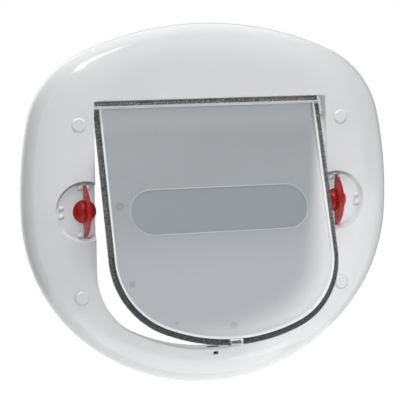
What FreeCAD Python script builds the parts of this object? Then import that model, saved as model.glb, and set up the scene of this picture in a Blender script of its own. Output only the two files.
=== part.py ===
import FreeCAD, Part
import math
import os

from FreeCAD import Vector

# Cat flap for a door: the room-side frame with its short tunnel, a clear flap that
# swings on two pins with a brush seal round its edge, and two turn locks.
# Millimetres. X runs right, Z up and the front faces -Y. The origin is the centre of
# the four fixing holes on the door's face, and "rise" is the distance from the door
# towards the room, so y = -rise. Bearings are in degrees clockwise from straight up.

# Opening, which the frame, flap and locks are sized from
opening_half_width = 114.5
opening_top_z = 101.9
opening_bottom_z = -136.5
opening_top_radius = 2.5
opening_corner_radius = 66.0
opening_low_radius = 171.0
arch_least_radius = 0.6
tunnel_wall = 2.5
lip_radius = 1.6
stop_lip_height = 2.0
stop_lip_depth = 1.5

# Frame outline: tangent arcs for the top, corner, side, lower corner and bottom
side_border = 67.4
top_border = 70.5
frame_half_width = opening_half_width + side_border
frame_top_z = opening_top_z + top_border
frame_widest_z = 9.3
top_radius = 299.0
corner_radius = 86.4
side_radius = 363.3
low_radius = 160.65
low_start_angle = 93.1
low_end_angle = 133.0

# Frame section: an upright rim, a shoulder and a flat face, moulded as a shell
face_rise = 20.5
rim_rise = 2.0
shoulder_width = 35.0
shoulder_edge_radius = 15.0
shoulder_edge_share = 0.8
skin = 2.5

# Stiffening ribs behind the face
rib_thickness = 1.8
rib_setback = 3.0
top_rib_x = 52.0
low_rib_x = 42.0
side_rib_z = 47.0
low_rib_overlap = 20.0

# Fixing holes and their caps
fixing_from_opening = 14.9
fixing_x = opening_half_width + fixing_from_opening
fixing_z = 80.5
fixing_boss_radius = 8.6
fixing_hole_radius = 2.5
fixing_land = 6.0
head_bore_radius = 5.4
cap_radius = 6.9
cap_thickness = 1.4
cap_proud = 1.0
cap_edge_rise = 0.15
cap_bevel = 1.5
cap_skirt_length = 5.0
cap_skirt_wall = 1.0
cap_fit = 0.12

# Flap: panel, rim and seal, all measured with the flap closed
pivot_rise = face_rise / 2
pivot_below_top = 20.3
pivot_z = opening_top_z - pivot_below_top
flap_side_gap = 2.2
flap_bottom_gap = 1.8
flap_corner_radius = 76.0
flap_low_radius = 168.0
flap_top_above_pivot = 14.8
flap_top_radius = 3.5
rest_swing_angle = 19.0
seal_reach = 5.3
rim_width = 2.2
rim_thickness = 6.4
head_bar_height = 2.4
head_bar_end_gap = 0.4
panel_thickness = 2.4

# Seal: a pile on a backing tape that is pushed into the rim's groove
tape_width = 3.2
tape_thickness = 1.0
tape_fit = 0.1
pile_thickness = 3.0
top_seal_gap = 0.5
seal_end_gap = 0.4

# Pivot pins, their sockets in the flap and their bushes in the tunnel walls
pin_radius = 1.0
pin_in_flap = 3.4
pin_in_bush = 4.0
seal_hole_depth = 2.4
flap_boss_radius = 2.0
flap_boss_length = 2.4
bush_radius = 3.2
bush_length = 4.8
bush_flange_radius = 4.6
bush_flange = 0.8
bush_boss_radius = 6.0
bush_boss_end = 1.5
running_fit = 0.04
seal_pin_gap = 0.3

# Name field on the panel, left plain, and the moulding's ejector marks
field_end_gap = 17.0
field_height = 44.2
field_below_pivot = 88.1
field_line = 1.1
field_line_height = 0.45
field_recess = 0.35
mark_depth = 0.25
mark_places = ((0.0, -116.7, 3.5), (-54.2, -111.3, 2.0), (-97.0, 0.2, 4.0), (-92.3, -72.5, 3.0))

# Closing lug with its steel slug, and the magnet in the tunnel floor
lug_half_width = 6.0
lug_thickness = 8.0
lug_floor_gap = 1.0
lug_edge_radius = 1.5
slug_half_length = 4.6
slug_height = 2.8
slug_depth = 5.0
magnet_half_width = 6.1
magnet_depth = 5.6
magnet_height = 7.0
keeper_thickness = 1.2
magnet_fit = 0.1
magnet_edge = 0.3
keeper_below_floor = 1.0
housing_wall = 2.0
window_width = 5.0
window_height = 3.0
window_below_lip = 3.2

# Turn locks
knob_from_opening = 10.4
knob_x = opening_half_width + knob_from_opening
knob_z = 0.0
dish_radius = 28.5
dish_floor_radius = 25.7
dish_depth = 4.6
pip_circle = 22.2
pip_pitch = 7.6
pip_radius = 3.15
pip_height = 2.2
knob_radius = 11.1
knob_skirt = 1.6
knob_crown = 7.8
wing_length = 49.6
wing_height = 18.2
wing_thickness = 3.4
wing_tip_thickness = 1.8
wing_tip_height = 1.2
wing_pip_gap = 0.3
stem_radius = 4.0
stem_fit = 0.05
knob_floor_gap = 0.2
bearing_radius = 6.8
bearing_back_rise = 7.6
spring_washer = 0.6
arm_length = 26.0
arm_width = 8.0
arm_thickness = 3.0
arm_rib = 0.5
arm_hub_radius = 6.2
arm_hub_thickness = 4.6
flat_depth = 1.0
arm_slot_gap = 0.9
arm_slot_depth = 0.6
arm_screw_radius = 1.4
arm_screw_length = 9.0
arm_screw_head_radius = 3.2
arm_screw_head = 1.6
arm_screw_round = 0.6
arm_screw_end_gap = 1.0

# How closely an edge has to lie on a plane to be taken as on it
close = 1e-4

# How far a cutting tool runs past the face it opens
past = 1.0


def at(x, rise, z):
    return Vector(x, -rise, z)


def step(centre, distance, bearing):
    t = math.radians(bearing)
    return (centre[0] + distance * math.sin(t), centre[1] + distance * math.cos(t))


def bearing_of(start, end):
    return math.degrees(math.atan2(end[0] - start[0], end[1] - start[1]))


def meet(a, a_radius, b, b_radius):
    """The crossing of two circles that lies to the right of the line from b up to a."""
    dx, dz = a[0] - b[0], a[1] - b[1]
    d = math.hypot(dx, dz)
    along = (b_radius ** 2 - a_radius ** 2 + d * d) / (2 * d)
    across = math.sqrt(b_radius ** 2 - along ** 2)
    ux, uz = dx / d, dz / d
    hits = [(b[0] + along * ux + s * across * uz, b[1] + along * uz - s * across * ux) for s in (1, -1)]
    return max(hits)


def arc(centre, radius, start, end, rise):
    points = [step(centre, radius, t) for t in (start, (start + end) / 2, end)]
    return Part.Arc(*[at(x, rise, z) for x, z in points]).toShape()


def line(a, b, rise):
    return Part.makeLine(at(a[0], rise, a[1]), at(b[0], rise, b[1]))


def face(edges):
    return Part.Face(Part.Wire(edges))


def prism(base, low, high):
    """A face drawn at rise 0, made solid between two rises."""
    solid = base.extrude(Vector(0, -(high - low), 0))
    solid.translate(Vector(0, -low, 0))
    return solid


def block(x0, x1, low, high, z0, z1):
    return Part.makeBox(x1 - x0, high - low, z1 - z0, Vector(x0, -high, z0))


def post(x, z, radius, low, high):
    """A round post along Y."""
    return Part.makeCylinder(radius, high - low, at(x, low, z), Vector(0, -1, 0))


def bar(x0, x1, rise, z, radius):
    """A round bar along X."""
    return Part.makeCylinder(radius, x1 - x0, at(x0, rise, z), Vector(1, 0, 0))


def turned(x, z, outline):
    """A solid turned about the axis along Y at x, z, from (radius, rise) points."""
    points = [at(x + r, rise, z) for r, rise in outline]
    return Part.Face(Part.makePolygon(points + points[:1])).revolve(at(x, 0, z), Vector(0, 1, 0), 360)


def joined(first, *others):
    return first.multiFuse(list(others)).removeSplitter()


def mirrored(shape):
    return shape.mirror(Vector(0, 0, 0), Vector(1, 0, 0))


def one(shape):
    """The single solid that a chain of operations left."""
    solids = sorted(shape.Solids, key=lambda s: -s.Volume)
    return solids[0]


# Frame outline


def frame_arcs():
    """Every arc of the outline, clockwise from the top, as (centre, radius, start, end)."""
    top = (0.0, frame_top_z - top_radius)
    side = (frame_half_width - side_radius, frame_widest_z)
    corner = meet(top, top_radius - corner_radius, side, side_radius - corner_radius)
    top_end, side_start = bearing_of(top, corner), bearing_of(side, corner)
    low = step(side, side_radius - low_radius, low_start_angle)
    bottom_radius = low_radius + low[0] / math.sin(math.radians(low_end_angle))
    bottom = step(low, low_radius - bottom_radius, low_end_angle)
    right = [
        (corner, corner_radius, top_end, side_start),
        (side, side_radius, side_start, low_start_angle),
        (low, low_radius, low_start_angle, low_end_angle),
    ]
    left = [((-c[0], c[1]), r, 360 - b, 360 - a) for c, r, a, b in reversed(right)]
    head = [(top, top_radius, -top_end, top_end)]
    return head + right + [(bottom, bottom_radius, low_end_angle, 360 - low_end_angle)] + left


def frame_face(inset):
    return face([arc(c, r - inset, a, b, 0) for c, r, a, b in frame_arcs()])


def shoulder_section(wall):
    """The shoulder from the rim to the flat face, as edges in (inset, rise), filled down to the door.
    wall moves it inwards to the back of the skin."""
    reach, height = shoulder_width, face_rise - rim_rise
    small = min(shoulder_edge_radius, shoulder_edge_share * height, shoulder_edge_share * reach)
    large = ((reach - small) ** 2 + height ** 2 - small ** 2) / (2 * (height - small))
    c1, c2 = (small, rim_rise), (reach, face_rise - large)
    turn = math.atan2(c1[0] - c2[0], c1[1] - c2[1])

    def on(c, r, t):
        return (c[0] + r * math.sin(t), c[1] + r * math.cos(t))

    quarter = -math.pi / 2
    small_arc = [on(c1, small - wall, t) for t in (quarter, (quarter + turn) / 2, turn)]
    large_arc = [on(c2, large - wall, t) for t in (turn, turn / 2, 0)]
    return small_arc, large_arc


def shoulder_solid(wall):
    """The filled shoulder, turned about each arc of the outline in turn."""
    small_arc, large_arc = shoulder_section(wall)
    solids = []
    for centre, radius, start, end in frame_arcs():
        def place(point):
            x, z = step(centre, radius - point[0], start)
            return at(x, point[1], z)

        foot, heel = (wall, 0.0), (shoulder_width, 0.0)
        edges = [
            Part.makeLine(place(foot), place(small_arc[0])),
            Part.Arc(*[place(p) for p in small_arc]).toShape(),
            Part.Arc(*[place(p) for p in large_arc]).toShape(),
            Part.makeLine(place(large_arc[2]), place(heel)),
            Part.makeLine(place(heel), place(foot)),
        ]
        solids.append(face(edges).revolve(at(centre[0], 0, centre[1]), Vector(0, 1, 0), end - start))
    return solids


def filled_frame(wall):
    """The frame's outer form, or with a wall the hollow behind its skin."""
    core = prism(frame_face(shoulder_width), 0, face_rise - wall)
    return joined(core, *shoulder_solid(wall))


# Arched outlines, shared by the opening and the flap


def arch(half, top, bottom, top_r, corner_r, low_r, grow=0.0):
    return dict(
        half=half + grow,
        top=top + grow,
        bottom=bottom - grow,
        top_r=max(top_r + grow, arch_least_radius),
        corner_r=corner_r + grow,
        low_r=low_r + grow,
    )


def grown(a, grow, top=None):
    b = arch(a["half"], a["top"], a["bottom"], a["top_r"], a["corner_r"], a["low_r"], grow)
    if top is not None:
        b["top"] = top
    return b


def arch_centres(a):
    low = (0.0, a["bottom"] + a["low_r"])
    side = a["half"] - a["corner_r"]
    drop = math.sqrt((a["low_r"] - a["corner_r"]) ** 2 - side ** 2)
    corner = (side, low[1] - drop)
    return low, corner, bearing_of(low, corner)


def arch_face(a):
    low, corner, turn = arch_centres(a)
    half, top, r = a["half"], a["top"], a["top_r"]
    left = (-corner[0], corner[1])
    return face([
        line((-half + r, top), (half - r, top), 0),
        arc((half - r, top - r), r, 0, 90, 0),
        line((half, top - r), (half, corner[1]), 0),
        arc(corner, a["corner_r"], 90, turn, 0),
        arc(low, a["low_r"], turn, 360 - turn, 0),
        arc(left, a["corner_r"], 360 - turn, 270, 0),
        line((-half, corner[1]), (-half, top - r), 0),
        arc((-half + r, top - r), r, 270, 360, 0),
    ])


def opening_arch(grow=0.0):
    return arch(opening_half_width, opening_top_z, opening_bottom_z, opening_top_radius,
                opening_corner_radius, opening_low_radius, grow)


def seal_arch():
    """The line that the seal's tips follow."""
    return arch(opening_half_width - flap_side_gap, pivot_z + flap_top_above_pivot,
                opening_bottom_z + flap_bottom_gap, flap_top_radius, flap_corner_radius,
                flap_low_radius)


def rim_arch(inset=0.0):
    """The outer edge of the flap's rim, or a line inset from it all round."""
    top = pivot_z + flap_top_above_pivot - inset
    return grown(seal_arch(), -seal_reach - inset, top)


# Frame and what is fixed in it


def sides():
    return (1, -1)


def fixing_places():
    return [(sx * fixing_x, sz * fixing_z) for sx in sides() for sz in sides()]


def cap_recess_floor():
    return face_rise - cap_thickness


def dish_floor_rise():
    return face_rise - dish_depth


def fixing_bosses():
    return [post(x, z, fixing_boss_radius, 0, cap_recess_floor()) for x, z in fixing_places()]


def dish_cups():
    cups = []
    for s in sides():
        cup = post(s * knob_x, knob_z, dish_radius + skin, dish_floor_rise() - skin, face_rise)
        bearing = post(s * knob_x, knob_z, bearing_radius, bearing_back_rise, dish_floor_rise())
        cups += [cup, bearing]
    return cups


def ribs():
    """Ribs from the tunnel to the skin, square to the outline's straightest parts."""
    half, far = rib_thickness / 2, frame_half_width
    plates = []
    for x in (-top_rib_x, 0.0, top_rib_x):
        plates.append(block(x - half, x + half, rib_setback, face_rise, opening_top_z, frame_top_z))
    for x in (-low_rib_x, low_rib_x):
        plates.append(block(x - half, x + half, rib_setback, face_rise,
                            -far, opening_bottom_z + low_rib_overlap))
    for s in sides():
        for z in (-fixing_z, -side_rib_z, side_rib_z, fixing_z):
            inner, outer = sorted((s * opening_half_width, s * far))
            plates.append(block(inner, outer, rib_setback, face_rise, z - half, z + half))
    return plates


def bush_bosses():
    bosses = []
    for s in sides():
        x0, x1 = sorted((s * opening_half_width, s * (opening_half_width + bush_length + bush_boss_end)))
        bosses.append(bar(x0, x1, pivot_rise, pivot_z, bush_boss_radius))
    return bosses


def stop_lip():
    """A low lip across the back of the tunnel's ceiling that closes the gap over the flap's top seal."""
    return block(-opening_half_width, opening_half_width, 0, stop_lip_depth,
                 opening_top_z - stop_lip_height, opening_top_z + tunnel_wall)


def magnet_floor_z():
    return opening_bottom_z - magnet_height


def magnet_housing():
    half = magnet_half_width + magnet_fit + housing_wall
    low = pivot_rise - magnet_depth / 2 - housing_wall
    high = pivot_rise + magnet_depth / 2 + keeper_thickness + magnet_fit + housing_wall
    return block(-half, half, low, high, magnet_floor_z() - housing_wall, opening_bottom_z)


def magnet_pocket():
    half = magnet_half_width + magnet_fit
    low = pivot_rise - magnet_depth / 2 - magnet_fit
    high = pivot_rise + magnet_depth / 2 + keeper_thickness + magnet_fit
    return block(-half, half, low, high, magnet_floor_z(), opening_bottom_z + past)


def magnet_window():
    top = opening_bottom_z - window_below_lip
    return block(-window_width / 2, window_width / 2, pivot_rise, face_rise + past, top - window_height, top)


def dish_cuts():
    cuts = []
    flare = (dish_radius - dish_floor_radius) / dish_depth
    for s in sides():
        outline = [
            (0, dish_floor_rise()),
            (dish_floor_radius, dish_floor_rise()),
            (dish_radius + flare, face_rise + past),
            (0, face_rise + past),
        ]
        cuts.append(turned(s * knob_x, knob_z, outline))
        cuts.append(post(s * knob_x, knob_z, stem_radius + stem_fit, bearing_back_rise - past, face_rise))
    return cuts


def fixing_cuts():
    cuts = []
    for x, z in fixing_places():
        cuts.append(post(x, z, cap_radius + cap_fit, cap_recess_floor(), face_rise + past))
        cuts.append(post(x, z, head_bore_radius, fixing_land, face_rise))
        cuts.append(post(x, z, fixing_hole_radius, -past, fixing_land + past))
    return cuts


def arm_back_rise():
    return bearing_back_rise - spring_washer - arm_hub_thickness


def arm_slots():
    """Slots in the tunnel walls that let each lock arm swing into the opening."""
    reach = math.sqrt(arm_length ** 2 - (knob_x - opening_half_width - tunnel_wall) ** 2)
    slots = []
    for s in sides():
        x0, x1 = sorted((s * (opening_half_width - past),
                         s * (opening_half_width + tunnel_wall + arm_slot_depth)))
        high = arm_back_rise() + arm_thickness + arm_rib + arm_slot_gap
        slots.append(block(x0, x1, -past, high, knob_z - arm_width / 2 - arm_slot_gap,
                           knob_z + reach + arm_slot_gap))
    return slots


def bush_cuts():
    cuts = []
    for s in sides():
        x0, x1 = sorted((s * (opening_half_width - past), s * (opening_half_width + bush_length)))
        cuts.append(bar(x0, x1, pivot_rise, pivot_z, bush_radius))
        f0, f1 = sorted((s * (opening_half_width - past), s * (opening_half_width + bush_flange)))
        cuts.append(bar(f0, f1, pivot_rise, pivot_z, bush_flange_radius))
    return cuts


def pips():
    """Pairs of round pips that the wing's ends rest between."""
    ball = (pip_radius ** 2 + pip_height ** 2) / (2 * pip_height)
    found = []
    for s in sides():
        for a, b in ((0, pip_circle), (0, -pip_circle), (s * pip_circle, 0)):
            for side in sides():
                dx, dz = (side * pip_pitch / 2, 0) if a == 0 else (0, side * pip_pitch / 2)
                x, z = s * knob_x + a + dx, knob_z + b + dz
                dome = Part.makeSphere(ball, at(x, dish_floor_rise() + pip_height - ball, z))
                keep = post(x, z, ball, dish_floor_rise() - skin / 2, dish_floor_rise() + pip_height)
                found.append(dome.common(keep))
    return found


def lip_edges(solid):
    """The front edges round the opening."""
    box = opening_arch()
    found = []
    for edge in solid.Edges:
        b = edge.BoundBox
        flat = abs(b.YMin + face_rise) < close and abs(b.YMax + face_rise) < close
        inside = abs(b.XMin) < box["half"] + close and abs(b.XMax) < box["half"] + close
        if flat and inside and b.ZMin > box["bottom"] - close and b.ZMax < box["top"] + close:
            found.append(edge)
    return found


def frame():
    form, hollow = filled_frame(0), filled_frame(skin)
    tunnel = prism(arch_face(opening_arch(tunnel_wall)), 0, face_rise)
    inner = [tunnel, magnet_housing()] + fixing_bosses() + dish_cups() + ribs() + bush_bosses()
    inner = [piece.common(form) for piece in inner]
    body = joined(form.cut(hollow), *inner)
    body = body.cut(prism(arch_face(opening_arch()), -past, face_rise + past))
    body = one(body).makeFillet(lip_radius, lip_edges(body))
    body = body.cut(Part.makeCompound(dish_cuts()))
    for cut in fixing_cuts() + arm_slots() + bush_cuts() + [magnet_pocket(), magnet_window()]:
        body = body.cut(cut)
    return one(joined(body, stop_lip(), *pips()))


def screw_cap(x, z):
    """A round cover that stands proud with a bevelled edge, and a hollow skirt that grips the head bore."""
    floor, top = cap_recess_floor(), face_rise + cap_proud
    skirt = head_bore_radius - cap_fit
    bore, foot = skirt - cap_skirt_wall, floor - cap_skirt_length
    return turned(x, z, [
        (0, floor),
        (bore, floor),
        (bore, foot),
        (skirt, foot),
        (skirt, floor),
        (cap_radius, floor),
        (cap_radius, face_rise + cap_edge_rise),
        (cap_radius - cap_bevel, top),
        (0, top),
    ])


def pivot_bush_right():
    x0, x1 = opening_half_width, opening_half_width + bush_length
    bush = joined(bar(x0, x1, pivot_rise, pivot_z, bush_radius),
                  bar(x0, x0 + bush_flange, pivot_rise, pivot_z, bush_flange_radius))
    return one(bush.cut(bar(x0 - past, x1 + past, pivot_rise, pivot_z, pin_radius + running_fit)))


def floor_magnet():
    low = pivot_rise - magnet_depth / 2
    body = block(-magnet_half_width, magnet_half_width, low, low + magnet_depth,
                 magnet_floor_z(), opening_bottom_z)
    return one(body.makeChamfer(magnet_edge, body.Edges))


def magnet_keeper():
    low = pivot_rise + magnet_depth / 2
    return block(-magnet_half_width, magnet_half_width, low, low + keeper_thickness,
                 magnet_floor_z(), opening_bottom_z - keeper_below_floor)


# Flap, drawn closed


def lug_bottom_z():
    return opening_bottom_z + lug_floor_gap


def lug_block():
    half = lug_thickness / 2
    body = block(-lug_half_width, lug_half_width, pivot_rise - half, pivot_rise + half,
                 lug_bottom_z(), rim_arch(rim_width / 2)["bottom"])
    ends = [e for e in body.Edges if abs(e.BoundBox.YLength - lug_thickness) < close
            and e.BoundBox.ZMax < lug_bottom_z() + close]
    return body.makeFillet(lug_edge_radius, ends)


def slug_block(fit=0.0):
    z = (lug_bottom_z() + rim_arch()["bottom"]) / 2
    back = pivot_rise - lug_thickness / 2
    return block(-slug_half_length - fit, slug_half_length + fit, back, back + slug_depth,
                 z - slug_height / 2 - fit, z + slug_height / 2 + fit)


def name_field(grow=0.0):
    """The long round-ended field, as a face."""
    r = field_height / 2 + grow
    x = rim_arch(rim_width)["half"] - field_end_gap - field_height / 2
    z = pivot_z - field_below_pivot
    return face([
        line((-x, z + r), (x, z + r), 0),
        arc((x, z), r, 0, 180, 0),
        line((x, z - r), (-x, z - r), 0),
        arc((-x, z), r, 180, 360, 0),
    ])


def flap_bosses():
    bosses = []
    edge = rim_arch()["half"]
    for s in sides():
        x0, x1 = sorted((s * (edge - flap_boss_length), s * edge))
        boss = bar(x0, x1, pivot_rise, pivot_z, flap_boss_radius)
        nose = Part.makeSphere(flap_boss_radius, at(s * (edge - flap_boss_length), pivot_rise, pivot_z))
        bosses += [boss, nose]
    return bosses


def groove_cut():
    """The groove round the rim that the tape slides into, left whole at the lug."""
    half = tape_width / 2 + tape_fit
    depth = tape_thickness + tape_fit
    far = rim_arch(-seal_reach)
    ring = prism(arch_face(far), pivot_rise - half, pivot_rise + half)
    core = prism(arch_face(rim_arch(depth)), 0, 2 * pivot_rise)
    keep = block(-lug_half_width, lug_half_width, 0, 2 * pivot_rise, far["bottom"] - past, 0)
    return ring.cut(core).cut(keep)


def head_bar_half():
    return opening_half_width - flap_side_gap - head_bar_end_gap


def head_bar():
    """The bar across the flap's top, over the side seals, that carries the top seal."""
    half, top = head_bar_half(), pivot_z + flap_top_above_pivot
    return block(-half, half, *flap_centre(rim_thickness), top - head_bar_height, top)


def head_slot():
    half, top = head_bar_half(), pivot_z + flap_top_above_pivot
    return block(-half - past, half + past, *flap_centre(tape_width + 2 * tape_fit),
                 top - tape_thickness - tape_fit, top + past)


def flap_centre(thickness):
    return pivot_rise - thickness / 2, pivot_rise + thickness / 2


def flap_panel():
    outer = prism(arch_face(rim_arch()), *flap_centre(rim_thickness))
    window = prism(arch_face(rim_arch(rim_width)), *flap_centre(rim_thickness + 2))
    ring = outer.cut(window)
    panel = prism(arch_face(rim_arch(rim_width / 2)), *flap_centre(panel_thickness))
    front = pivot_rise + panel_thickness / 2
    line_top = front + field_line_height
    frame_line = prism(name_field(), front - 0.5, line_top)
    body = joined(ring, panel, frame_line, lug_block(), *flap_bosses())
    body = body.cut(prism(name_field(-field_line), front - field_recess, line_top + past))
    body = joined(body.cut(groove_cut()), head_bar()).cut(head_slot())
    body = body.cut(slug_block(tape_fit))
    for s in sides():
        x0, x1 = sorted((s * (rim_arch()["half"] - pin_in_flap), s * opening_half_width))
        body = body.cut(bar(x0, x1, pivot_rise, pivot_z, pin_radius))
    for x, z, radius in mark_places:
        body = body.cut(post(x, z, radius, front - mark_depth, front + past))
    return one(body)


def pivot_pin_right():
    return bar(rim_arch()["half"] - pin_in_flap, opening_half_width + pin_in_bush,
               pivot_rise, pivot_z, pin_radius)


def strip_band(inner, outer, thickness):
    """A band that follows the rim's right side down to the lug, in two lengths that part at the pin."""
    high = pivot_z + flap_top_above_pivot - head_bar_height - seal_end_gap
    ring = prism(arch_face(rim_arch(-outer)), *flap_centre(thickness))
    ring = ring.cut(prism(arch_face(rim_arch(-inner)), 0, 2 * pivot_rise))
    reach = opening_half_width
    band = ring.common(block(lug_half_width + tape_fit, reach, 0, 2 * pivot_rise,
                             opening_bottom_z, high))
    hole = bar(rim_arch()["half"] - seal_hole_depth, reach + past,
               pivot_rise, pivot_z, pin_radius + seal_pin_gap)
    return Part.makeCompound(band.cut(hole).Solids)


def tape_right():
    return strip_band(-tape_thickness - tape_fit, -tape_fit, tape_width)


def pile_right():
    return strip_band(-tape_fit, seal_reach, pile_thickness)


def top_strip(low, high, thickness):
    half, top = head_bar_half(), pivot_z + flap_top_above_pivot
    return block(-half, half, *flap_centre(thickness), top + low, top + high)


def tape_top():
    return top_strip(-tape_thickness - tape_fit, -tape_fit, tape_width)


def pile_top():
    reach = opening_top_z - top_seal_gap - pivot_z - flap_top_above_pivot
    return top_strip(-tape_fit, reach, pile_thickness)


def swung(shape):
    """Turns a closed flap piece about the pins to where the flap rests in this model."""
    shape = shape.copy()
    shape.rotate(at(0, pivot_rise, pivot_z), Vector(1, 0, 0), -rest_swing_angle)
    return shape


# Turn locks, drawn for the right side


def wing_floor_rise():
    return dish_floor_rise() + pip_height + wing_pip_gap


def wing():
    """A tall thin wing through the dome: an arched crest seen from the side, a leaf from the front."""
    half, base = wing_length / 2, wing_floor_rise()

    def side_point(z, rise):
        return at(knob_x - wing_thickness, rise, knob_z + z)

    crest = Part.Arc(side_point(-half, base + wing_tip_height), side_point(0, base + wing_height),
                     side_point(half, base + wing_tip_height)).toShape()
    low = [side_point(half, base + wing_tip_height), side_point(half, base),
           side_point(-half, base), side_point(-half, base + wing_tip_height)]
    fin = face([crest, Part.makePolygon(low)]).extrude(Vector(2 * wing_thickness, 0, 0))
    tip, mid = wing_tip_thickness / 2, wing_thickness / 2

    def leaf_point(x, z):
        return at(knob_x + x, 0, knob_z + z)

    leaf = face([
        Part.Arc(leaf_point(tip, -half), leaf_point(mid, 0), leaf_point(tip, half)).toShape(),
        Part.makeLine(leaf_point(tip, half), leaf_point(-tip, half)),
        Part.Arc(leaf_point(-tip, half), leaf_point(-mid, 0), leaf_point(-tip, -half)).toShape(),
        Part.makeLine(leaf_point(-tip, -half), leaf_point(tip, -half)),
    ])
    return fin.common(prism(leaf, base - past, base + wing_height + past))


def knob_dome():
    low = dish_floor_rise() + knob_floor_gap
    edge, top = low + knob_skirt, low + knob_crown
    rise = top - edge
    ball = (knob_radius ** 2 + rise ** 2) / (2 * rise)
    round_top = Part.makeSphere(ball, at(knob_x, top - ball, knob_z))
    return post(knob_x, knob_z, knob_radius, low, top).common(round_top)


def stem_flats():
    """What is left outside the two flats on the stem's end."""
    far = stem_radius + past
    low, high = arm_back_rise() - past, arm_back_rise() + arm_hub_thickness
    return [block(knob_x + a, knob_x + b, low, high, knob_z - far, knob_z + far)
            for a, b in ((stem_radius - flat_depth, far), (-far, flat_depth - stem_radius))]


def knob_right():
    stem = post(knob_x, knob_z, stem_radius, arm_back_rise(), dish_floor_rise() + knob_crown / 2)
    body = joined(knob_dome(), wing(), stem)
    for flat in stem_flats():
        body = body.cut(flat)
    back = arm_back_rise()
    return one(body.cut(post(knob_x, knob_z, arm_screw_radius, back - past, back + arm_screw_length)))


def lock_arm_right():
    """The stop behind the flap: a hub on the stem's flats and a round-ended arm."""
    back, end = arm_back_rise(), arm_length - arm_width / 2
    hub = post(knob_x, knob_z, arm_hub_radius, back, back + arm_hub_thickness)
    bladed = block(knob_x - arm_width / 2, knob_x + arm_width / 2, back, back + arm_thickness,
                   knob_z, knob_z + end)
    tip = post(knob_x, knob_z + end, arm_width / 2, back, back + arm_thickness)
    body = joined(hub, bladed, tip)
    hole = post(knob_x, knob_z, stem_radius + stem_fit, back - past, back + arm_hub_thickness + past)
    for flat in stem_flats():
        flat.translate(Vector(stem_fit if flat.CenterOfMass.x > knob_x else -stem_fit, 0, 0))
        hole = hole.cut(flat)
    rib = block(knob_x - rib_thickness / 2, knob_x + rib_thickness / 2, back + arm_thickness,
                back + arm_thickness + arm_rib, knob_z + arm_hub_radius - past, knob_z + end)
    return one(joined(body.cut(hole), rib))


def spring_washer_right():
    low = bearing_back_rise - spring_washer
    ring = post(knob_x, knob_z, bearing_radius, low, bearing_back_rise)
    return ring.cut(post(knob_x, knob_z, stem_radius + 2 * stem_fit, low - past, bearing_back_rise + past))


def arm_screw_right():
    back = arm_back_rise()
    head = post(knob_x, knob_z, arm_screw_head_radius, back - arm_screw_head, back)
    rims = [e for e in head.Edges if e.BoundBox.YLength < close
            and abs(e.BoundBox.YMin + back - arm_screw_head) < close]
    head = head.makeFillet(arm_screw_round, rims)
    shank = post(knob_x, knob_z, arm_screw_radius, back, back + arm_screw_length - arm_screw_end_gap)
    return one(joined(head, shank))


def make_parts():
    parts = {
        "frame": frame(),
        "floor_magnet": floor_magnet(),
        "magnet_keeper": magnet_keeper(),
        "flap_panel": swung(flap_panel()),
        "tape_top": swung(tape_top()),
        "pile_top": swung(pile_top()),
        "lug_slug": swung(slug_block()),
    }
    paired = {
        "screw_cap_upper": screw_cap(fixing_x, fixing_z),
        "screw_cap_lower": screw_cap(fixing_x, -fixing_z),
        "pivot_bush": pivot_bush_right(),
        "pivot_pin": swung(pivot_pin_right()),
        "tape": swung(tape_right()),
        "pile": swung(pile_right()),
        "knob": knob_right(),
        "lock_arm": lock_arm_right(),
        "spring_washer": spring_washer_right(),
        "arm_screw": arm_screw_right(),
    }
    for name, shape in paired.items():
        parts[name + "_right"] = shape
        parts[name + "_left"] = mirrored(shape)
    return parts


def main():
    os.makedirs("parts", exist_ok=True)
    for name, shape in make_parts().items():
        shape.exportStep(os.path.join("parts", name + ".step"))
        print(name, len(shape.Solids), "solid", round(shape.Volume / 1000, 2), "cm3", shape.isValid())


main()
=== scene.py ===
"""Looks of the cat flap: finishes, brush seal, studio and camera, in metres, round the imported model."""

import math
import random

import bpy
from mathutils import Matrix, Vector

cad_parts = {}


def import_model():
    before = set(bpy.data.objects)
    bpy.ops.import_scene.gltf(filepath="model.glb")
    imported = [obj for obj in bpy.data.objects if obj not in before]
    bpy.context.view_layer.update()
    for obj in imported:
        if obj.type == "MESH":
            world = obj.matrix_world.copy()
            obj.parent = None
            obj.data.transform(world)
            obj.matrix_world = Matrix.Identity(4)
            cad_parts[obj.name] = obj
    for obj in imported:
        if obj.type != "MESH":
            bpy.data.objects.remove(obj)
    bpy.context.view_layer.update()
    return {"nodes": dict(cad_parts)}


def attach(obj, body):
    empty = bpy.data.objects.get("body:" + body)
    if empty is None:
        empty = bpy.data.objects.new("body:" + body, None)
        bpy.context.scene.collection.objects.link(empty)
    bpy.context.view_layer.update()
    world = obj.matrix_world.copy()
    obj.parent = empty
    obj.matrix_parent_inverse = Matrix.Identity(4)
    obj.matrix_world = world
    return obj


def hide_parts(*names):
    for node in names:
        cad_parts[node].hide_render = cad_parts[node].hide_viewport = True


MM = 0.001

# Camera, solved from the photograph's outline
CAMERA_PLACE = (-0.5066, -1.5800, 0.1733)
CAMERA_YAW = 17.542
CAMERA_PITCH = -5.836
CAMERA_ROLL = -0.895
CAMERA_LENS = 156.86
SENSOR = 36.0
CAMERA_CLIP = (0.05, 60.0)

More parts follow.
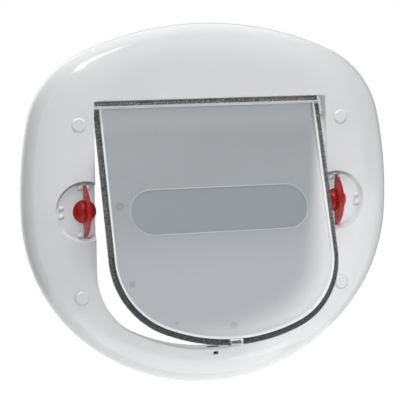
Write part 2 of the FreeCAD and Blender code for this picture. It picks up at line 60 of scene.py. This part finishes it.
# The flap, repeated from the part's source, closed
PIVOT_RISE = 10.25 * MM
PIVOT_Z = 81.6 * MM
REST_SWING = 19.0
RIM_HALF = 107.0 * MM
RIM_TOP = 96.4 * MM
RIM_BOTTOM = -129.4 * MM
RIM_CORNER = 70.7 * MM
RIM_LOW = 162.7 * MM
HEAD_HALF = 111.9 * MM
HEAD_BAR = 2.4 * MM
SEAL_REACH = 5.3 * MM
SEAL_ROOT = -0.1 * MM
SEAL_END_GAP = 0.4 * MM
SEAL_LUG_GAP = 0.212 * MM
TOP_SEAL_REACH = 5.0 * MM
PILE_THICKNESS = 3.0 * MM
PIN_CLEARANCE = 1.3 * MM
PIN_DETOUR = (1.18 * MM, 1.32 * MM)
LUG_HALF = 6.1 * MM
LUG_TOP = -129.0 * MM

# The long round-ended field sunk in the flap
FIELD_HALF = 87.8 * MM
FIELD_RADIUS = 22.1 * MM
FIELD_Z = -6.5 * MM

# The opening, and the painted glow of the white frame seen through the pane towards its edge, over a band
# that widens downwards
OPENING_HALF = 114.5 * MM
OPENING_BOTTOM = -136.5 * MM
OPENING_CORNER = 66.0 * MM
OPENING_LOW = 171.0 * MM
TUNNEL_WALL = (OPENING_HALF + 0.5 * MM, OPENING_HALF + 2.0 * MM)
FADE_SLANT = 0.15
FADE_DROP = 5.0 * MM
FADE_INSET = 5.5 * MM
FADE_NARROW = 9.0 * MM
FADE_WIDE = 20.0 * MM
FADE_HEIGHTS = (20.0 * MM, -60.0 * MM)

# Where the flap's other tones start and end, painted light at its head and foot and painted highlights on its
# rim among them: heights, a depth from its middle, and distances past the field's outline or the rim's
FOOT_HEIGHTS = (10.0 * MM, -75.0 * MM)
HEAD_HEIGHTS = (62.0 * MM, 92.0 * MM)
HEAD_BAR_HEIGHTS = (RIM_TOP - HEAD_BAR - 0.5 * MM, RIM_TOP - HEAD_BAR)
LUG_HEIGHTS = (LUG_TOP, LUG_TOP - 0.5 * MM)
LUG_SIDE = (LUG_HALF + 0.1 * MM, LUG_HALF + 0.3 * MM)
RAISED_DEPTHS = (1.3 * MM, 1.7 * MM)
FIELD_INSIDE = (-1.3 * MM, -0.9 * MM)
FIELD_LINE = (0.5 * MM, 2.0 * MM)
FIELD_SURROUND = (10.0 * MM, 5.0 * MM)
RIM_BRIGHT = (-2.1 * MM, -1.2 * MM)

# The knobs' dishes, and the x and z of the way from them to the light that tones them
DISH_X = 124.9 * MM
DISH_EDGE = (29.2 * MM, 29.8 * MM)
DISH_WALL = (25.4 * MM, 26.0 * MM)
DISH_BEHIND = (-14.0 * MM, -12.0 * MM)
DISH_TO_LIGHT = (-0.37, 0.93)

# Marks that the moulding's ejectors leave on the flap: x, z and radius, and their soft edge, in mm
EJECTOR_MARKS = ((0.0, -116.7, 3.5), (-54.2, -111.3, 2.0), (-97.0, 0.2, 4.0), (-92.3, -72.5, 3.0))
EJECTOR_EDGE = (-0.4, 0.2)

# Brush seal: bristles in rows through the pile's thickness, round a packed core
BRISTLE_SPACING = 0.34 * MM
BRISTLE_ROWS = 7
BRISTLE_WIDTH = (0.2 * MM, 0.3 * MM)
BRISTLE_TAPER = 0.55
BRISTLE_SLIDE = 0.2 * MM
BRISTLE_DEPTH = 0.12 * MM
BRISTLE_SPREAD = 0.22 * MM
BRISTLE_ASLANT = (0.3, 1.0, 0.2)
ROW_INSET = 0.3 * MM
ROOT_GATHER = 0.9
SIDE_SHADE_HEIGHTS = (0.0, -115.0 * MM)
TOP_SHADE_HEIGHTS = (RIM_TOP + 2.8 * MM, RIM_TOP + 4.4 * MM)
CORE_SPACING = 1.2 * MM
CORE_INSET = 0.35 * MM
CORE_SHORT = 0.6 * MM
CORE_BREAK = 2.5 * MM

# Studio: name, place, aim, width and height, power, and the rays that pass a lamp by
LAMPS = (
    ("overhead", (0.06, -0.28, 1.15), (0, 0, 0), (0.8, 0.8), 9.2, ("glossy",)),
    ("overhead_left", (-0.7, -0.25, 0.95), (0, 0, 0), (0.8, 0.8), 2.8, ("glossy",)),
    ("key", (-0.23, -1.5, 1.35), (0, 0, 0), (0.44, 0.36), 3.0, ()),
    ("glint", (-0.30, -1.5, 1.45), (0, 0, 0), (0.42, 0.74), 10.5, ("diffuse",)),
    ("low_fill", (0.05, -0.42, -0.55), (0, 0, -0.1), (0.7, 0.3), 1.2, ()),
    ("low_right", (0.6, -0.6, -0.35), (0, 0, 0), (0.6, 0.6), 2.2, ()),
    ("low_front", (0.1, -0.9, -0.35), (0, 0, 0), (0.6, 0.6), 0.8, ("glossy",)),
    ("behind", (-0.8, 1.3, 0.6), (0, 0, 0), (0.4, 0.4), 16.0, ("glossy", "transmission")),
)
# Boards: name, place, the way it faces, width and height, tone, and the rays that pass it by
BOARDS = (
    ("left_board", (-0.9, -0.2, 0), (1, 0, 0), (1.6, 2.2), 0.4, ()),
    ("back_board", (1.05, 1.4, 0.3), (0, -1, 0), (2.3, 2.1), 0.5, ("diffuse", "transmission")),
    ("right_board", (0.9, -0.2, 0), (-1, 0, 0), (1.6, 2.2), 0.12, ()),
)
WORLD_STRENGTH = 0.15
FLOOR_Z = -0.75
FLOOR_HALF = 12.0
FLOOR_GLOW = 0.85


# Shader building blocks


class Nodes:
    """Short calls for making the nodes of one material or world."""

    def __init__(self, owner, output):
        owner.use_nodes = True
        self.owner = owner
        self.tree = owner.node_tree
        self.tree.nodes.clear()
        self.output = self.add(output)

    def add(self, kind, **settings):
        node = self.tree.nodes.new(kind)
        for key, value in settings.items():
            setattr(node, key, value)
        return node

    def put(self, value, socket):
        if isinstance(value, bpy.types.NodeSocket):
            self.tree.links.new(value, socket)
        else:
            socket.default_value = value

    def math(self, operation, a, b=0.0, c=0.0):
        node = self.add("ShaderNodeMath", operation=operation)
        for value, socket in zip((a, b, c), node.inputs):
            self.put(value, socket)
        return node.outputs[0]

    def ramp(self, value, low, high, to_low=0.0, to_high=1.0):
        """A smooth step of value from low to high."""
        node = self.add("ShaderNodeMapRange", interpolation_type="SMOOTHSTEP")
        limits = {"Value": value, "From Min": low, "From Max": high, "To Min": to_low, "To Max": to_high}
        for name, number in limits.items():
            self.put(number, node.inputs[name])
        return node.outputs["Result"]

    def length(self, a, b):
        return self.math("SQRT", self.math("MULTIPLY_ADD", a, a, self.math("MULTIPLY", b, b)))

    def mix(self, share, a, b):
        """A colour between a and b."""
        node = self.add("ShaderNodeMix", data_type="RGBA")
        self.put(share, node.inputs["Factor"])
        self.put(a, node.inputs[6])
        self.put(b, node.inputs[7])
        return node.outputs[2]

    def place(self):
        """A point of the object, as it lies at rest."""
        return self.add("ShaderNodeTexCoord").outputs["Object"]

    def facing(self):
        """The way the surface faces there."""
        return self.add("ShaderNodeTexCoord").outputs["Normal"]

    def split(self, vector):
        """The x, y and z of a vector."""
        node = self.add("ShaderNodeSeparateXYZ")
        self.put(vector, node.inputs[0])
        return node.outputs

    def noise(self, size, detail=2.0, vector=None, roughness=0.5):
        """Noise with grains of that size in metres."""
        node = self.add("ShaderNodeTexNoise")
        self.put(vector or self.place(), node.inputs["Vector"])
        self.put(1.0 / size, node.inputs["Scale"])
        self.put(detail, node.inputs["Detail"])
        self.put(roughness, node.inputs["Roughness"])
        return node.outputs["Fac"]

    def bump(self, height, depth, normal=None):
        """Relief of that depth in metres, on top of another normal where one is given."""
        node = self.add("ShaderNodeBump")
        self.put(height, node.inputs["Height"])
        self.put(depth, node.inputs["Distance"])
        if normal is not None:
            self.put(normal, node.inputs["Normal"])
        return node.outputs[0]

    def principled(self, **inputs):
        node = self.add("ShaderNodeBsdfPrincipled")
        for name, value in inputs.items():
            self.put(value, node.inputs[name.replace("_", " ")])
        return node.outputs[0]

    def done(self, shader):
        self.tree.links.new(shader, self.output.inputs["Surface"])
        return self.owner


def surface(name):
    """The nodes of a new material."""
    return Nodes(bpy.data.materials.new(name), "ShaderNodeOutputMaterial")


def rgb(r, g, b):
    return (r, g, b, 1.0)


def tunnel_walls(n):
    """The tunnel's inner walls, plainer than the polished skin and painted paler, as painted light, in the
    frame's material: where the surface turns in to the opening.
    """
    x, _, z = n.split(n.place())
    out_x, _, out_z = n.split(n.facing())
    outward = n.math("MULTIPLY_ADD", x, out_x, n.math("MULTIPLY", z, out_z))
    outward = n.math("DIVIDE", outward, n.length(x, z))
    near = n.ramp(n.math("ABSOLUTE", x), *TUNNEL_WALL, 1.0, 0.0)
    return n.math("MULTIPLY", n.ramp(outward, -0.3, -0.6), near)


def dish_painted_light(n):
    """How far a dish's wall or pip turns away from the light, above on the left, and how far towards it:
    masks for painted shade and painted highlight.
    """
    x, y, z = n.split(n.place())
    out_x, _, out_z = n.split(n.facing())
    away = n.length(n.math("SUBTRACT", n.math("ABSOLUTE", x), DISH_X), z)
    inside = n.math("MULTIPLY", n.ramp(away, *DISH_EDGE, 1.0, 0.0), n.ramp(y, *DISH_BEHIND, 1.0, 0.0))
    wall = n.ramp(away, *DISH_WALL)
    to_light = n.math("MULTIPLY", out_z, DISH_TO_LIGHT[1])
    to_light = n.math("MULTIPLY_ADD", out_x, DISH_TO_LIGHT[0], to_light)
    on_wall = n.math("MULTIPLY", wall, n.ramp(to_light, -0.25, -0.75, 0.0, 0.85))
    on_pip = n.math("MULTIPLY", n.math("SUBTRACT", 1.0, wall), n.ramp(to_light, -0.03, -0.45, 0.0, 0.6))
    return (n.math("MULTIPLY", inside, n.math("ADD", on_wall, on_pip)),
            n.math("MULTIPLY", inside, n.ramp(to_light, 0.02, 0.35)))


def gloss_white():
    """The frame's moulding: glossy, with the faintest waviness and tone of a large plastic skin, and painted
    light on its tunnel walls and in its dishes.
    """
    n = surface("frame_white")
    colour = n.mix(n.ramp(n.noise(60 * MM, 3), 0.35, 0.65), rgb(0.785, 0.796, 0.803), rgb(0.81, 0.82, 0.825))
    walls = tunnel_walls(n)
    # painted light: the tunnel's inner walls are painted paler than the skin
    colour = n.mix(walls, colour, rgb(0.93, 0.935, 0.94))
    shade, light = dish_painted_light(n)
    # painted shade on the dishes' walls and pips that turn from the light, painted highlight on those that
    # turn to it
    colour = n.mix(shade, colour, rgb(0.14, 0.155, 0.16))
    colour = n.mix(light, colour, rgb(0.98, 0.98, 0.98))
    polish = n.ramp(n.noise(9 * MM, 4), 0.2, 0.8, 0.08, 0.11)
    rough = n.math("MULTIPLY_ADD", walls, 0.4, polish)
    wave = n.bump(n.noise(40 * MM, 1), 0.03 * MM)
    skin = n.bump(n.noise(0.8 * MM, 2), 0.004 * MM, normal=wave)
    return n.done(n.principled(Base_Color=colour, Roughness=rough, IOR=1.48, Normal=skin))


def cap_white():
    """The screw covers: painted shade on the bevel's lower side and a painted highlight on its upper side."""
    n = surface("cap_white")
    up = n.split(n.facing())[2]
    colour = n.mix(n.noise(5 * MM, 3), rgb(0.77, 0.78, 0.785), rgb(0.80, 0.81, 0.815))
    # painted shade where the bevel faces down, painted highlight where it faces up
    colour = n.mix(n.ramp(up, -0.05, -0.45, 0.0, 0.5), colour, rgb(0.3, 0.31, 0.32))
    colour = n.mix(n.ramp(up, 0.05, 0.4), colour, rgb(0.98, 0.98, 0.98))
    rough = n.ramp(n.noise(2 * MM, 3), 0.2, 0.8, 0.2, 0.3)
    return n.done(n.principled(Base_Color=colour, Roughness=rough, IOR=1.48,
                               Normal=n.bump(n.noise(0.5 * MM), 0.004 * MM)))


def flap_place(n):
    """(x, depth from the mid plane, z) on the flap as if it hung closed."""
    turn = n.add("ShaderNodeVectorRotate", rotation_type="X_AXIS")
    n.put(n.place(), turn.inputs["Vector"])
    n.put((0.0, -PIVOT_RISE, PIVOT_Z), turn.inputs["Center"])
    n.put(math.radians(REST_SWING), turn.inputs["Angle"])
    x, y, z = n.split(turn.outputs[0])
    return x, n.math("ABSOLUTE", n.math("ADD", y, PIVOT_RISE)), z


def beyond(n, x, z, half, centre_z, radius):
    """How far a point lies outside a long round-ended field."""
    dx = n.math("MAXIMUM", n.math("SUBTRACT", n.math("ABSOLUTE", x), half - radius), 0.0)
    dz = n.math("SUBTRACT", z, centre_z)
    return n.math("SUBTRACT", n.length(dx, dz), radius)


def past_arch(n, x, z, half, bottom, corner_radius, low_radius):
    """How far a point lies outside an outline with straight sides, round corners and a low arc."""
    x = n.math("ABSOLUTE", x)
    low_z = bottom + low_radius
    corner_x = half - corner_radius
    corner_z = low_z - math.sqrt((low_radius - corner_radius) ** 2 - corner_x ** 2)
    dx = n.math("MAXIMUM", n.math("SUBTRACT", x, corner_x), 0.0)
    dz = n.math("MINIMUM", n.math("SUBTRACT", z, corner_z), 0.0)
    below = n.math("SUBTRACT", low_z, z)
    corner = n.math("SUBTRACT", n.length(dx, dz), corner_radius)
    low = n.math("SUBTRACT", n.length(x, below), low_radius)
    in_low = n.math("LESS_THAN", n.math("MULTIPLY", x, low_z - corner_z), n.math("MULTIPLY", below, corner_x))
    return n.math("MULTIPLY_ADD", in_low, n.math("SUBTRACT", low, corner), corner)


def past_opening(n, x, z):
    """How far a point of the pane lies past the edge of the opening that shows through it."""
    slant = n.math("MULTIPLY", n.math("SUBTRACT", PIVOT_Z, z), FADE_SLANT)
    past = past_arch(n, n.math("ADD", x, slant), n.math("SUBTRACT", z, FADE_DROP),
                     OPENING_HALF, OPENING_BOTTOM, OPENING_CORNER, OPENING_LOW)
    return n.math("ADD", past, FADE_INSET)


def ejector_marks(n, x, z):
    """1 on the round marks and 0 round them."""
    found = 0.0
    for mark_x, mark_z, radius in EJECTOR_MARKS:
        away = n.length(n.math("SUBTRACT", x, mark_x * MM), n.math("SUBTRACT", z, mark_z * MM))
        inner, outer = ((radius + edge) * MM for edge in EJECTOR_EDGE)
        found = n.math("MAXIMUM", found, n.ramp(away, inner, outer, 1.0, 0.0))
    return found


def frosted_clear():
    """The flap: smoke-grey and frosted, less clear on its moulded rim with painted highlights there, painted
    light at its head and foot, and the white frame close behind painted in as a glow.
    """
    n = surface("flap_clear")
    x, depth, z = flap_place(n)
    off_field = beyond(n, x, z, FIELD_HALF, FIELD_Z, FIELD_RADIUS)
    in_field = n.ramp(off_field, *FIELD_INSIDE, 1.0, 0.0)
    # painted light: paler at the foot, which swings out into more light, and at the head, which the tunnel's
    # top shades
    foot = n.ramp(z, *FOOT_HEIGHTS)
    head = n.ramp(z, *HEAD_HEIGHTS)
    marks = n.math("MULTIPLY", ejector_marks(n, x, z), 0.4)
    # painted glow: the white frame behind, seen through the frosted pane near the opening's edge, is painted
    # in, and the pane is made less clear there
    fade = n.ramp(z, *FADE_HEIGHTS, FADE_NARROW, FADE_WIDE)
    painted_frame_glow = n.ramp(past_opening(n, x, z), n.math("MULTIPLY", fade, -1.0), fade)
    # painted highlight along the rim's edges, the head bar and the field's raised outline
    rim = n.math("MULTIPLY", n.ramp(depth, *RAISED_DEPTHS), n.ramp(off_field, *FIELD_LINE, 0.4, 1.0))
    edge = n.ramp(past_arch(n, x, z, RIM_HALF, RIM_BOTTOM, RIM_CORNER, RIM_LOW), *RIM_BRIGHT, 0.3, 1.0)
    painted_rim_highlight = n.math("MAXIMUM", edge, n.ramp(z, *HEAD_BAR_HEIGHTS))
    painted_rim_highlight = n.math("MAXIMUM", painted_rim_highlight, n.ramp(off_field, *FIELD_SURROUND))
    painted_rim_highlight = n.math("MULTIPLY", rim, painted_rim_highlight)
    lug = n.math("MULTIPLY", n.ramp(n.math("ABSOLUTE", x), *LUG_SIDE, 1.0, 0.0), n.ramp(z, *LUG_HEIGHTS))

    colour = n.mix(n.ramp(n.noise(45 * MM, 3), 0.3, 0.7), rgb(0.43, 0.45, 0.47), rgb(0.45, 0.47, 0.49))
    for share, tone in ((foot, rgb(0.545, 0.565, 0.59)), (head, rgb(0.58, 0.60, 0.62)),
                        (in_field, rgb(0.375, 0.402, 0.425)), (marks, rgb(0.25, 0.26, 0.27)),
                        (painted_frame_glow, rgb(0.95, 0.953, 0.96)), (painted_rim_highlight, rgb(0.96, 0.97, 0.975)),
                        (lug, rgb(0.95, 0.96, 0.965))):
        colour = n.mix(share, colour, tone)

    rough = n.ramp(n.noise(3 * MM, 4), 0.2, 0.8, 0.28, 0.38)
    rough = n.math("MULTIPLY", rough, n.ramp(lug, 0.0, 1.0, 1.0, 0.2))
    grain = n.bump(n.noise(0.35 * MM, 3), 0.01 * MM)
    clear = n.math("MULTIPLY_ADD", painted_frame_glow, -0.4, 0.5)
    clear = n.math("MULTIPLY", clear, n.math("MULTIPLY_ADD", rim, -0.8, 1.0))
    return n.done(n.principled(Base_Color=colour, Roughness=rough, IOR=1.49,
                               Transmission_Weight=n.math("ADD", clear, lug), Normal=grain))


def gloss_red():
    """The knobs: red plastic, with highlights tinted by it."""
    n = surface("knob_red")
    colour = n.mix(n.noise(12 * MM, 2), rgb(0.37, 0.008, 0.007), rgb(0.42, 0.012, 0.010))
    rough = n.ramp(n.noise(4 * MM, 3), 0.2, 0.8, 0.24, 0.30)
    return n.done(n.principled(Base_Color=colour, Roughness=rough, IOR=1.5,
                               Specular_Tint=rgb(1.0, 0.42, 0.38),
                               Normal=n.bump(n.noise(1.4 * MM, 2), 0.002 * MM)))


def pile_grey(name, dark, pale, shade_heights):
    """Brush fibres: each a little lighter or darker than the next, and painted shade that darkens them up or
    down the flap.
    """
    n = surface(name)
    z = flap_place(n)[2]
    fleck = n.noise(1.5 * MM, 3, roughness=0.7)
    drift = n.noise(14 * MM, 2)
    colour = n.mix(n.ramp(fleck, 0.40, 0.62), dark, pale)
    colour = n.mix(n.ramp(drift, 0.35, 0.7, 0.0, 0.35), colour, rgb(0.17, 0.175, 0.155))
    # painted shade: darker down the side strips and at the top strip's tips
    colour = n.mix(n.ramp(z, *shade_heights, 0.0, 0.6), colour, rgb(0.01, 0.014, 0.016))
    rough = n.ramp(fleck, 0.3, 0.7, 0.6, 0.8)
    return n.done(n.principled(Base_Color=colour, Roughness=rough, IOR=1.45, Sheen_Weight=0.2,
                               Normal=n.bump(fleck, 0.12 * MM)))


def tape_dark():
    """The woven backing of the brush."""
    n = surface("tape_dark")
    colour = n.mix(n.noise(1.2 * MM, 3), rgb(0.03, 0.03, 0.033), rgb(0.07, 0.07, 0.072))
    return n.done(n.principled(Base_Color=colour, Roughness=n.ramp(n.noise(2 * MM), 0, 1, 0.55, 0.75),
                               Normal=n.bump(n.noise(0.5 * MM), 0.03 * MM)))


def natural_plastic():
    """Plain undyed plastic, for the stop arms and the bushes."""
    n = surface("natural_plastic")
    colour = n.mix(n.noise(8 * MM, 3), rgb(0.68, 0.68, 0.66), rgb(0.74, 0.74, 0.715))
    rough = n.ramp(n.noise(1.5 * MM, 4), 0.2, 0.8, 0.4, 0.55)
    return n.done(n.principled(Base_Color=colour, Roughness=rough, IOR=1.47,
                               Normal=n.bump(n.noise(0.4 * MM), 0.01 * MM)))


def drawn_steel(name, dark, pale):
    """Steel with fine marks along its length."""
    n = surface(name)
    stretch = n.add("ShaderNodeMapping")
    n.put(n.place(), stretch.inputs["Vector"])
    n.put((0.1, 1.0, 1.0), stretch.inputs["Scale"])
    lines = n.noise(0.25 * MM, 3, vector=stretch.outputs[0])
    colour = n.mix(lines, dark, pale)
    rough = n.ramp(lines, 0.2, 0.8, 0.25, 0.42)
    return n.done(n.principled(Base_Color=colour, Metallic=1.0, Roughness=rough,
                               Normal=n.bump(lines, 0.006 * MM)))


def magnet_dark():
    """The magnet and its keeper: dark and grainy."""
    n = surface("magnet_dark")
    grain = n.noise(0.5 * MM, 5, roughness=0.7)
    colour = n.mix(grain, rgb(0.035, 0.036, 0.04), rgb(0.10, 0.10, 0.105))
    return n.done(n.principled(Base_Color=colour, Metallic=0.3, Roughness=n.ramp(grain, 0.2, 0.8, 0.45, 0.65),
                               Normal=n.bump(grain, 0.03 * MM)))


def paint(objects, material):
    """One material all over each object."""
    for obj in objects:
        obj.data.materials.clear()
        obj.data.materials.append(material)
        for face in obj.data.polygons:
            face.material_index = 0


# Brush seal


def closed_to_rest(point):
    """A point on the closed flap, as (x, depth towards the room, z), where the flap rests."""
    x, depth, z = point
    turn = math.radians(-REST_SWING)
    y, up = -depth, z - PIVOT_Z
    return Vector((x, -PIVOT_RISE + y * math.cos(turn) - up * math.sin(turn),
                   PIVOT_Z + y * math.sin(turn) + up * math.cos(turn)))


def rim_path(spacing):
    """Points down the rim's right edge to the lug, each as (x, z, outward x, outward z)."""
    low_centre = RIM_BOTTOM + RIM_LOW
    corner_x = RIM_HALF - RIM_CORNER
    corner_z = low_centre - math.sqrt((RIM_LOW - RIM_CORNER) ** 2 - corner_x ** 2)
    turn = math.atan2(corner_x, corner_z - low_centre)
    end = math.pi - math.asin((LUG_HALF + SEAL_LUG_GAP) / RIM_LOW)
    top = RIM_TOP - HEAD_BAR - SEAL_END_GAP
    steps = int((top - corner_z) / spacing)
    found = [(RIM_HALF, top - (i + 0.5) * (top - corner_z) / steps, 1.0, 0.0) for i in range(steps)]
    for centre, radius, start, stop in (((corner_x, corner_z), RIM_CORNER, math.pi / 2, turn),
                                        ((0.0, low_centre), RIM_LOW, turn, end)):
        steps = int(radius * (stop - start) / spacing)
        for i in range(steps):
            angle = start + (i + 0.5) * (stop - start) / steps
            out_x, out_z = math.sin(angle), math.cos(angle)
            found.append((centre[0] + radius * out_x, centre[1] + radius * out_z, out_x, out_z))
    return found


def top_path(spacing):
    """Points along the top of the rim, in the same form."""
    steps = int(2 * HEAD_HALF / spacing)
    return [(-HEAD_HALF + (i + 0.5) * 2 * HEAD_HALF / steps, RIM_TOP, 0.0, 1.0) for i in range(steps)]


def fibre(verts, faces, root, tip, width):
    """A tapering three-sided bristle, open at the root."""
    along = (tip - root).normalized()
    across = along.cross(Vector(BRISTLE_ASLANT)).normalized()
    other = along.cross(across)
    first = len(verts)
    for centre, wide in ((root, width), (tip, width * BRISTLE_TAPER)):
        for corner in range(3):
            angle = 2 * math.pi * corner / 3
            verts.append(centre + (across * math.cos(angle) + other * math.sin(angle)) * wide / 2)
    for corner in range(3):
        after = (corner + 1) % 3
        faces.append((first + corner, first + after, first + 3 + after, first + 3 + corner))
    faces.append((first + 3, first + 4, first + 5))


def core(verts, faces, path, reach, side):
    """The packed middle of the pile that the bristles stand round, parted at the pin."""
    path = [p for p in path if p[3] or abs(p[1] - PIVOT_Z) > PIN_CLEARANCE]
    depth = PILE_THICKNESS / 2 - CORE_INSET
    top = reach - CORE_SHORT
    section = ((SEAL_ROOT, depth), (top, depth), (top, -depth), (SEAL_ROOT, -depth))

    def parted(i):
        """Whether the core ends between the points i - 1 and i."""
        return (Vector(path[i][:2]) - Vector(path[i - 1][:2])).length > CORE_BREAK

    for i, (x, z, out_x, out_z) in enumerate(path):
        first = len(verts)
        verts.extend(closed_to_rest((side * (x + out_x * out), d, z + out_z * out)) for out, d in section)
        if i == 0 or parted(i):
            faces.append((first, first + 1, first + 2, first + 3))
        else:
            for corner in range(4):
                after = (corner + 1) % 4
                faces.append((first - 4 + corner, first - 4 + after, first + after, first + corner))
        if i == len(path) - 1 or parted(i + 1):
            faces.append((first + 3, first + 2, first + 1, first))


def brush(name, node, path_of, reach, side, seed):
    """One strip: a core and rows of bristles that lean a little at random and step round the pin."""
    dice = random.Random(seed)
    verts, faces = [], []
    core(verts, faces, path_of(CORE_SPACING), reach, side)
    for x, z, out_x, out_z in path_of(BRISTLE_SPACING):
        for row in range(BRISTLE_ROWS):
            depth = (row / (BRISTLE_ROWS - 1) - 0.5) * (PILE_THICKNESS - ROW_INSET)
            depth += dice.uniform(-BRISTLE_DEPTH, BRISTLE_DEPTH)
            if not out_z and math.hypot(z - PIVOT_Z, depth) < PIN_CLEARANCE:
                depth = math.copysign(dice.uniform(*PIN_DETOUR), depth)
            slide = dice.uniform(-BRISTLE_SLIDE, BRISTLE_SLIDE)
            lean = dice.gauss(0, BRISTLE_SPREAD)
            long = reach - abs(dice.gauss(0, BRISTLE_SPREAD))
            width = dice.uniform(*BRISTLE_WIDTH)
            foot_x, foot_z = x - out_z * slide, z + out_x * slide
            root = (side * (foot_x + out_x * SEAL_ROOT), depth * ROOT_GATHER, foot_z + out_z * SEAL_ROOT)
            tip = (side * (foot_x + out_x * long - out_z * lean), depth, foot_z + out_z * long + out_x * lean)
            fibre(verts, faces, closed_to_rest(root), closed_to_rest(tip), width)
    mesh = bpy.data.meshes.new(name)
    mesh.from_pydata([tuple(v) for v in verts], [], faces)
    mesh.update()
    obj = bpy.data.objects.new(name, mesh)
    bpy.context.scene.collection.objects.link(obj)
    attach(obj, "flap")
    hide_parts(node)
    return obj


# Studio


def camera():
    """The photograph's camera."""
    yaw, pitch, roll = (math.radians(a) for a in (CAMERA_YAW, CAMERA_PITCH, CAMERA_ROLL))
    forward = Vector((math.sin(yaw) * math.cos(pitch), math.cos(yaw) * math.cos(pitch), math.sin(pitch)))
    right = forward.cross(Vector((0, 0, 1))).normalized()
    up = right.cross(forward)
    rolled_right = right * math.cos(roll) + up * math.sin(roll)
    rolled_up = up * math.cos(roll) - right * math.sin(roll)
    cam = bpy.data.cameras.new("camera")
    cam.lens, cam.sensor_width, cam.sensor_fit = CAMERA_LENS, SENSOR, "HORIZONTAL"
    cam.clip_start, cam.clip_end = CAMERA_CLIP
    obj = bpy.data.objects.new("camera", cam)
    turn = Matrix((rolled_right, rolled_up, -forward)).transposed()
    obj.matrix_world = Matrix.Translation(CAMERA_PLACE) @ turn.to_4x4()
    bpy.context.scene.collection.objects.link(obj)
    bpy.context.scene.camera = obj


def stand(name, data, place, axis, towards, unseen):
    """Put a lamp or board in the scene with one axis turned one way, unseen by the camera and those rays."""
    obj = bpy.data.objects.new(name, data)
    turn = Vector(towards).to_track_quat(axis, "Y")
    obj.matrix_world = Matrix.Translation(place) @ turn.to_matrix().to_4x4()
    bpy.context.scene.collection.objects.link(obj)
    for ray in ("camera",) + unseen:
        setattr(obj, f"visible_{ray}", False)
    return obj


def softbox(name, place, target, size, power, unseen):
    """A rectangular lamp turned to its target."""
    light = bpy.data.lights.new(name, "AREA")
    light.shape, light.size, light.size_y = "RECTANGLE", *size
    light.energy = power
    stand(name, light, place, "-Z", Vector(target) - Vector(place), unseen)


def rectangle(name, width, height, z=0.0):
    """A flat mesh about its middle."""
    x, y = width / 2, height / 2
    mesh = bpy.data.meshes.new(name)
    mesh.from_pydata([(-x, -y, z), (x, -y, z), (x, y, z), (-x, y, z)], [], [(0, 1, 2, 3)])
    return mesh


def card(name, place, normal, size, tone, unseen):
    """A plain board that the camera doesn't see, to darken or brighten one side."""
    obj = stand(name, rectangle(name, *size), place, "Z", normal, ("shadow",) + unseen)
    n = surface(name)
    paint([obj], n.done(n.principled(Base_Color=rgb(tone, tone, tone), Roughness=0.9)))


def seen_directly(n):
    """1 for rays that show a thing itself: the camera's, and through glass or off a gloss."""
    rays = n.add("ShaderNodeLightPath").outputs
    seen = n.math("MAXIMUM", rays["Is Camera Ray"], rays["Is Glossy Ray"])
    return n.math("MAXIMUM", seen, rays["Is Transmission Ray"])


def floor():
    """A pale floor, white to the camera where it is lit, that keeps the object's shadow."""
    obj = bpy.data.objects.new("floor", rectangle("floor", 2 * FLOOR_HALF, 2 * FLOOR_HALF, FLOOR_Z))
    bpy.context.scene.collection.objects.link(obj)
    n = surface("floor")
    glow = n.add("ShaderNodeEmission")
    n.put(n.math("MULTIPLY", seen_directly(n), FLOOR_GLOW), glow.inputs["Strength"])
    both = n.add("ShaderNodeAddShader")
    n.put(n.principled(Base_Color=rgb(0.86, 0.86, 0.86), Roughness=0.9), both.inputs[0])
    n.put(glow.outputs[0], both.inputs[1])
    paint([obj], n.done(both.outputs[0]))


def world():
    """Even light on the object, and plain white behind it."""
    n = Nodes(bpy.data.worlds.new("studio"), "ShaderNodeOutputWorld")
    blend = n.add("ShaderNodeMixShader")
    n.put(seen_directly(n), blend.inputs[0])
    for colour, strength, socket in ((rgb(0.97, 0.985, 1.0), WORLD_STRENGTH, blend.inputs[1]),
                                     (rgb(1, 1, 1), 1.0, blend.inputs[2])):
        light = n.add("ShaderNodeBackground")
        n.put(colour, light.inputs["Color"])
        n.put(strength, light.inputs["Strength"])
        n.put(light.outputs[0], socket)
    bpy.context.scene.world = n.done(blend.outputs[0])


def studio():
    """The world, the floor, the camera, and the lamps and boards listed at the top."""
    world()
    floor()
    camera()
    for lamp in LAMPS:
        softbox(*lamp)
    for board in BOARDS:
        card(*board)
    bpy.context.scene.view_settings.view_transform = "Standard"


def dress(nodes):
    """Each node's material, and fibres for the three strips of pile."""
    pairs = ("left", "right")

    def named(*names):
        return [nodes[name] for name in names]

    def both(*names):
        return [nodes[f"{name}_{side}"] for name in names for side in pairs]

    paint(named("frame"), gloss_white())
    paint(both("screw_cap_upper", "screw_cap_lower"), cap_white())
    paint(named("flap_panel"), frosted_clear())
    paint(both("knob"), gloss_red())
    for knob in both("knob"):
        knob.visible_diffuse = False
    paint(both("lock_arm", "pivot_bush"), natural_plastic())
    bright_steel = drawn_steel("drawn_steel", rgb(0.52, 0.53, 0.54), rgb(0.66, 0.67, 0.68))
    paint(both("pivot_pin", "spring_washer", "arm_screw"), bright_steel)
    paint(named("lug_slug"), drawn_steel("slug_steel", rgb(0.09, 0.10, 0.105), rgb(0.15, 0.16, 0.165)))
    paint(named("floor_magnet", "magnet_keeper"), magnet_dark())
    paint(named("tape_top") + both("tape"), tape_dark())
    piles = [brush("brush_right", "pile_right", rim_path, SEAL_REACH, side=1, seed=11),
             brush("brush_left", "pile_left", rim_path, SEAL_REACH, side=-1, seed=12),
             brush("brush_top", "pile_top", top_path, TOP_SEAL_REACH, side=1, seed=13)]
    paint(piles[:2], pile_grey("pile_grey", rgb(0.072, 0.080, 0.084), rgb(0.355, 0.365, 0.363),
                               SIDE_SHADE_HEIGHTS))
    # the top strip is the same brush as the sides, painted paler as painted light from above
    paint(piles[2:], pile_grey("pile_top_painted_lit", rgb(0.09, 0.095, 0.10), rgb(0.85, 0.85, 0.83),
                               TOP_SHADE_HEIGHTS))


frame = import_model()
dress(frame["nodes"])
studio()
